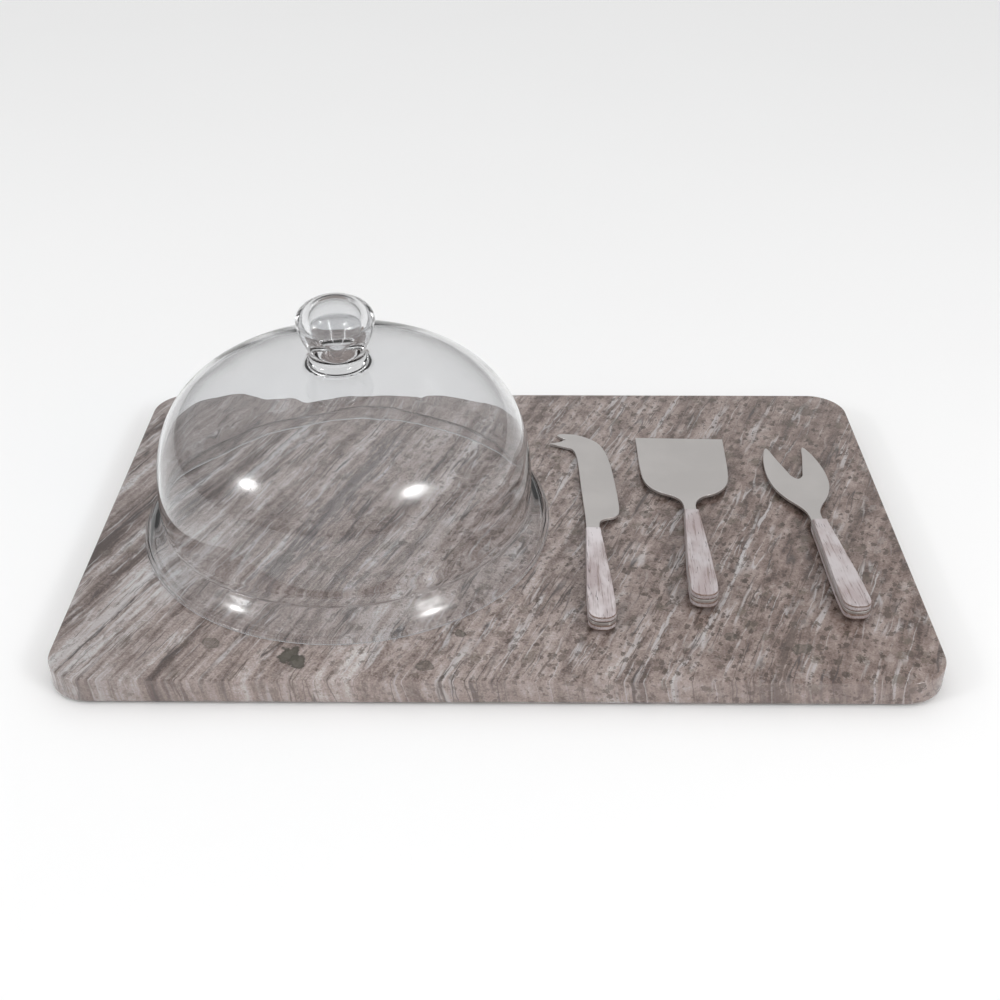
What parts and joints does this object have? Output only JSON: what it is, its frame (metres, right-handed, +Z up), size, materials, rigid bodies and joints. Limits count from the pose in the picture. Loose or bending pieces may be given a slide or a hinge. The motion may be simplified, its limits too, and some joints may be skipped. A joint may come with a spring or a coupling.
{
  "type": "cheese dome",
  "caption": "Stone cheese board on small feet with a lift-off glass dome and solid glass knob, and a wooden-handled cheese knife, spade and fork laid beside it.",
  "frame": {"origin": "middle of the board's footprint, on the surface its feet stand on", "axes": "+X along the board's length, +Y from the front edge to the back edge, +Z up"},
  "size_m": [0.48, 0.305, 0.1641],
  "materials": {
    "stone": "polished taupe marble with pale and dark streaks",
    "silicone": "clear soft silicone",
    "glass": "clear hand-blown glass, slightly wavy",
    "steel": "satin stainless steel",
    "wood": "whitewashed wood with fine brown grain"
  },
  "bodies": {
    "board": {"marble_board": "stone", "foot_front_left": "silicone", "foot_front_right": "silicone", "foot_back_left": "silicone", "foot_back_right": "silicone"},
    "dome": {"dome_shell": "glass", "dome_knob": "glass"},
    "knife": {"knife_blade": "steel", "knife_upper_scale": "wood", "knife_lower_scale": "wood", "knife_pins": "steel"},
    "spade": {"spade_blade": "steel", "spade_upper_scale": "wood", "spade_lower_scale": "wood", "spade_pins": "steel"},
    "fork": {"fork_blade": "steel", "fork_upper_scale": "wood", "fork_lower_scale": "wood", "fork_pins": "steel"}
  },
  "joints": [
    {"name": "dome_lift", "type": "slide", "parent": "board", "child": "dome", "axis": [0, 0, 1], "range_m": [0, 0.2]},
    {"name": "knife_lift", "type": "slide", "parent": "board", "child": "knife", "axis": [0, 0, 1], "range_m": [0, 0.15]},
    {"name": "spade_lift", "type": "slide", "parent": "board", "child": "spade", "axis": [0, 0, 1], "range_m": [0, 0.15]},
    {"name": "fork_lift", "type": "slide", "parent": "board", "child": "fork", "axis": [0, 0, 1], "range_m": [0, 0.15]}
  ]
}
